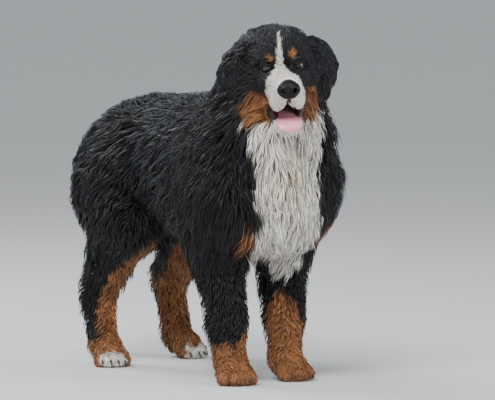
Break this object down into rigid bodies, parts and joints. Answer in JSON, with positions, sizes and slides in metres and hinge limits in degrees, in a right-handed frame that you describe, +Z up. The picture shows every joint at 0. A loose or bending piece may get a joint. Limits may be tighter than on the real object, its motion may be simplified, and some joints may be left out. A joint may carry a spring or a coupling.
{
  "type": "life-size dog model",
  "caption": "Life-size standing Bernese mountain dog with long coat, head turned to its right and mouth open, resting on four flat soles.",
  "frame": {"origin": "on the floor, under the middle of the bounding box", "axes": "+X from tail to head along the trunk, +Y to the dog's left, +Z up"},
  "size_m": [1.1828, 0.4592, 0.9013],
  "materials": {
    "black_coat": "long black hair with a bluish sheen",
    "white_coat": "long white hair, faintly cream",
    "tan_coat": "short rust-tan hair",
    "nose_leather": "moist pebbled black skin",
    "tongue": "moist pink skin",
    "eye": "glossy dark brown"
  },
  "bodies": {
    "root": {"head": "black_coat", "jaw": "white_coat", "nose": "nose_leather", "tongue": "tongue", "eye_L": "eye", "eye_R": "eye", "ear_L": "black_coat", "ear_R": "black_coat", "neck": "black_coat", "forequarters": "black_coat", "barrel": "black_coat", "hindquarters": "black_coat", "tail": "black_coat", "foreleg_L": "black_coat", "foreleg_R": "black_coat", "hindleg_L": "black_coat", "hindleg_R": "black_coat", "forepaw_L": "tan_coat", "forepaw_R": "tan_coat", "hindpaw_L": "tan_coat", "hindpaw_R": "tan_coat"}
  },
  "joints": []
}
